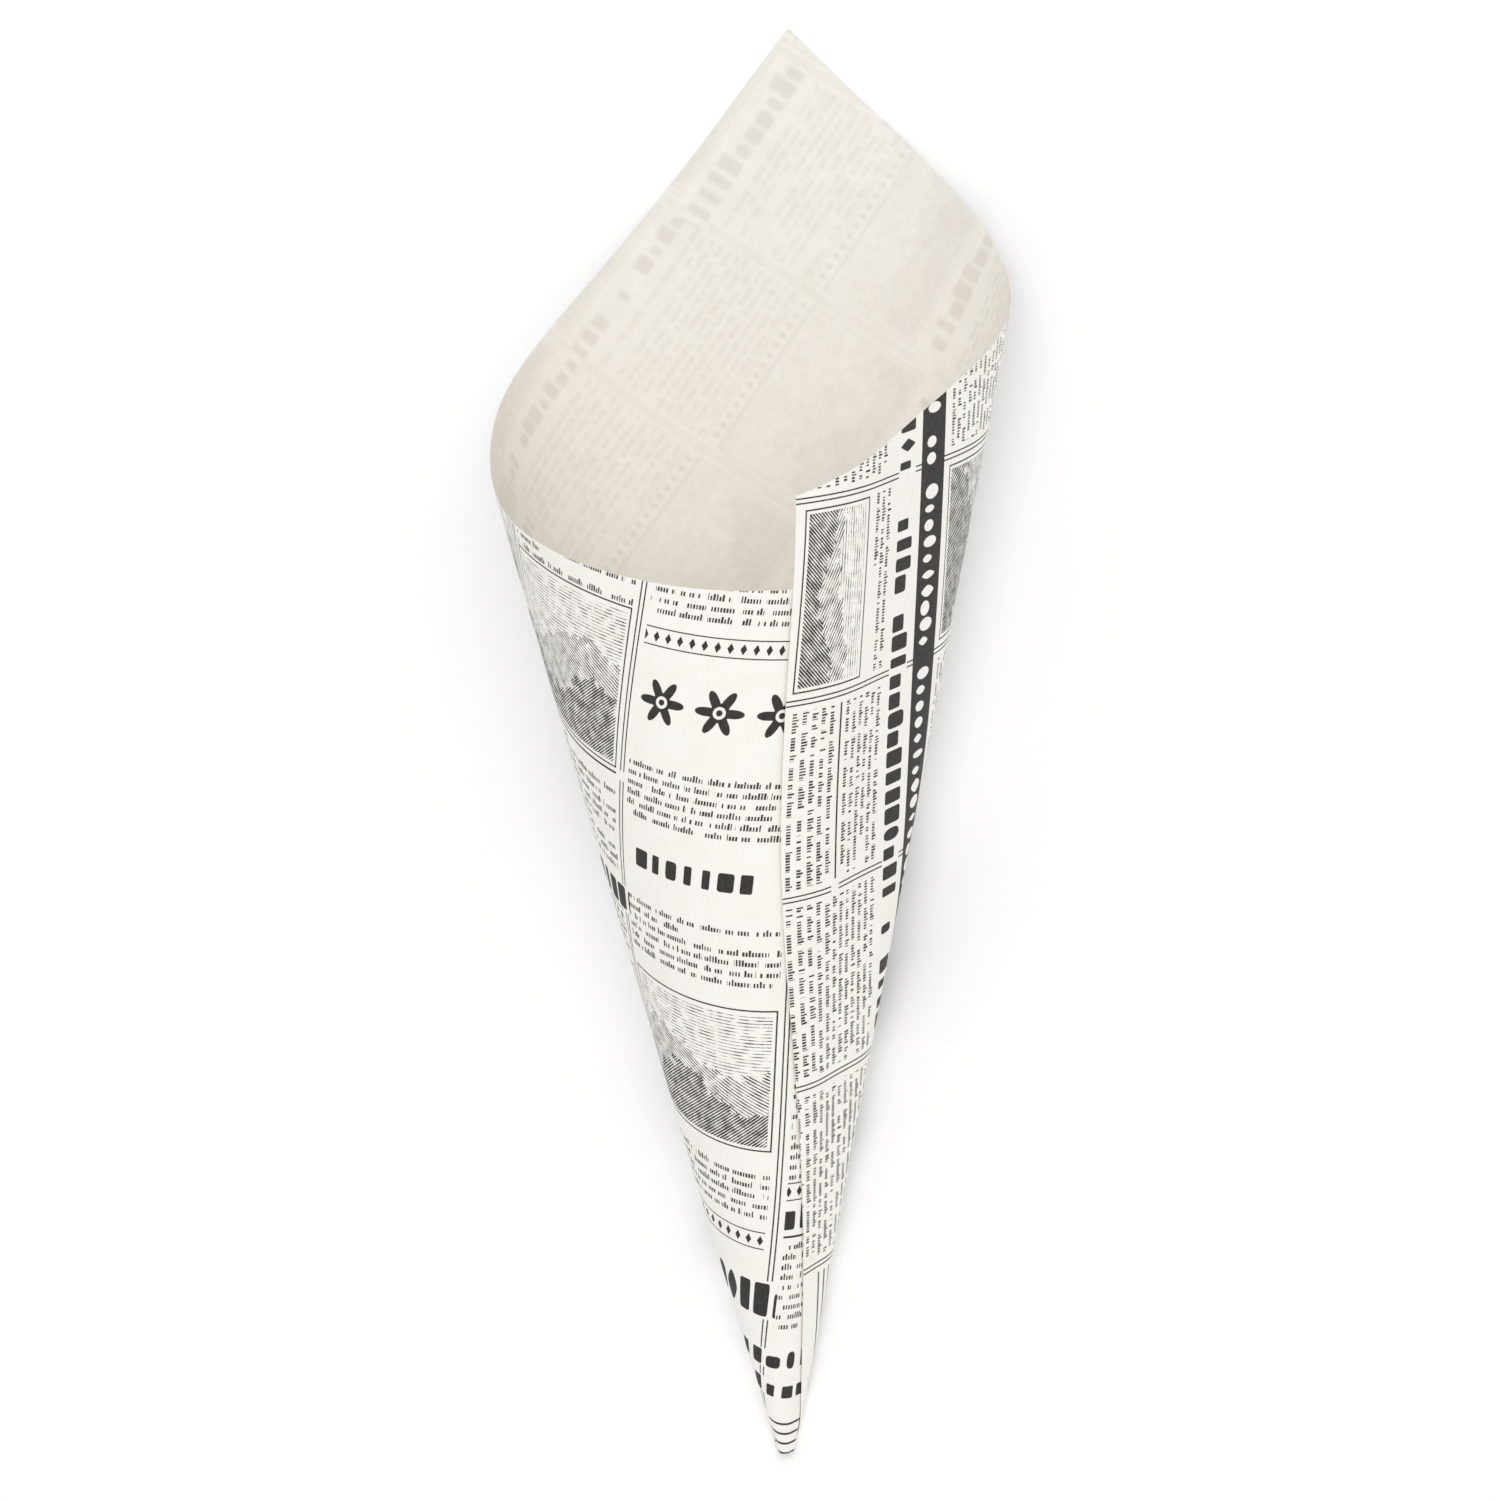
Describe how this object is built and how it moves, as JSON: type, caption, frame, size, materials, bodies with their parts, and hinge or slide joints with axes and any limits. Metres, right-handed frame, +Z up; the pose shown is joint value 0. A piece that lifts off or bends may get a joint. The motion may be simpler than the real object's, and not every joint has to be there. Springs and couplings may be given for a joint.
{
  "type": "paper cone",
  "caption": "Cone rolled from a sheet of printed paper, with a lapped seam down the front, a slanted open mouth with a high back corner and a small blunt point.",
  "frame": {"origin": "centre of the cone's box on the plane that it lies on", "axes": "+Z up from that plane, through the seam side; +Y from the point to the high corner of the mouth"},
  "size_m": [0.1464, 0.4054, 0.1173],
  "materials": {
    "printed_paper": "matte"
  },
  "bodies": {
    "root": {"paper_cone": "printed_paper"}
  },
  "joints": []
}
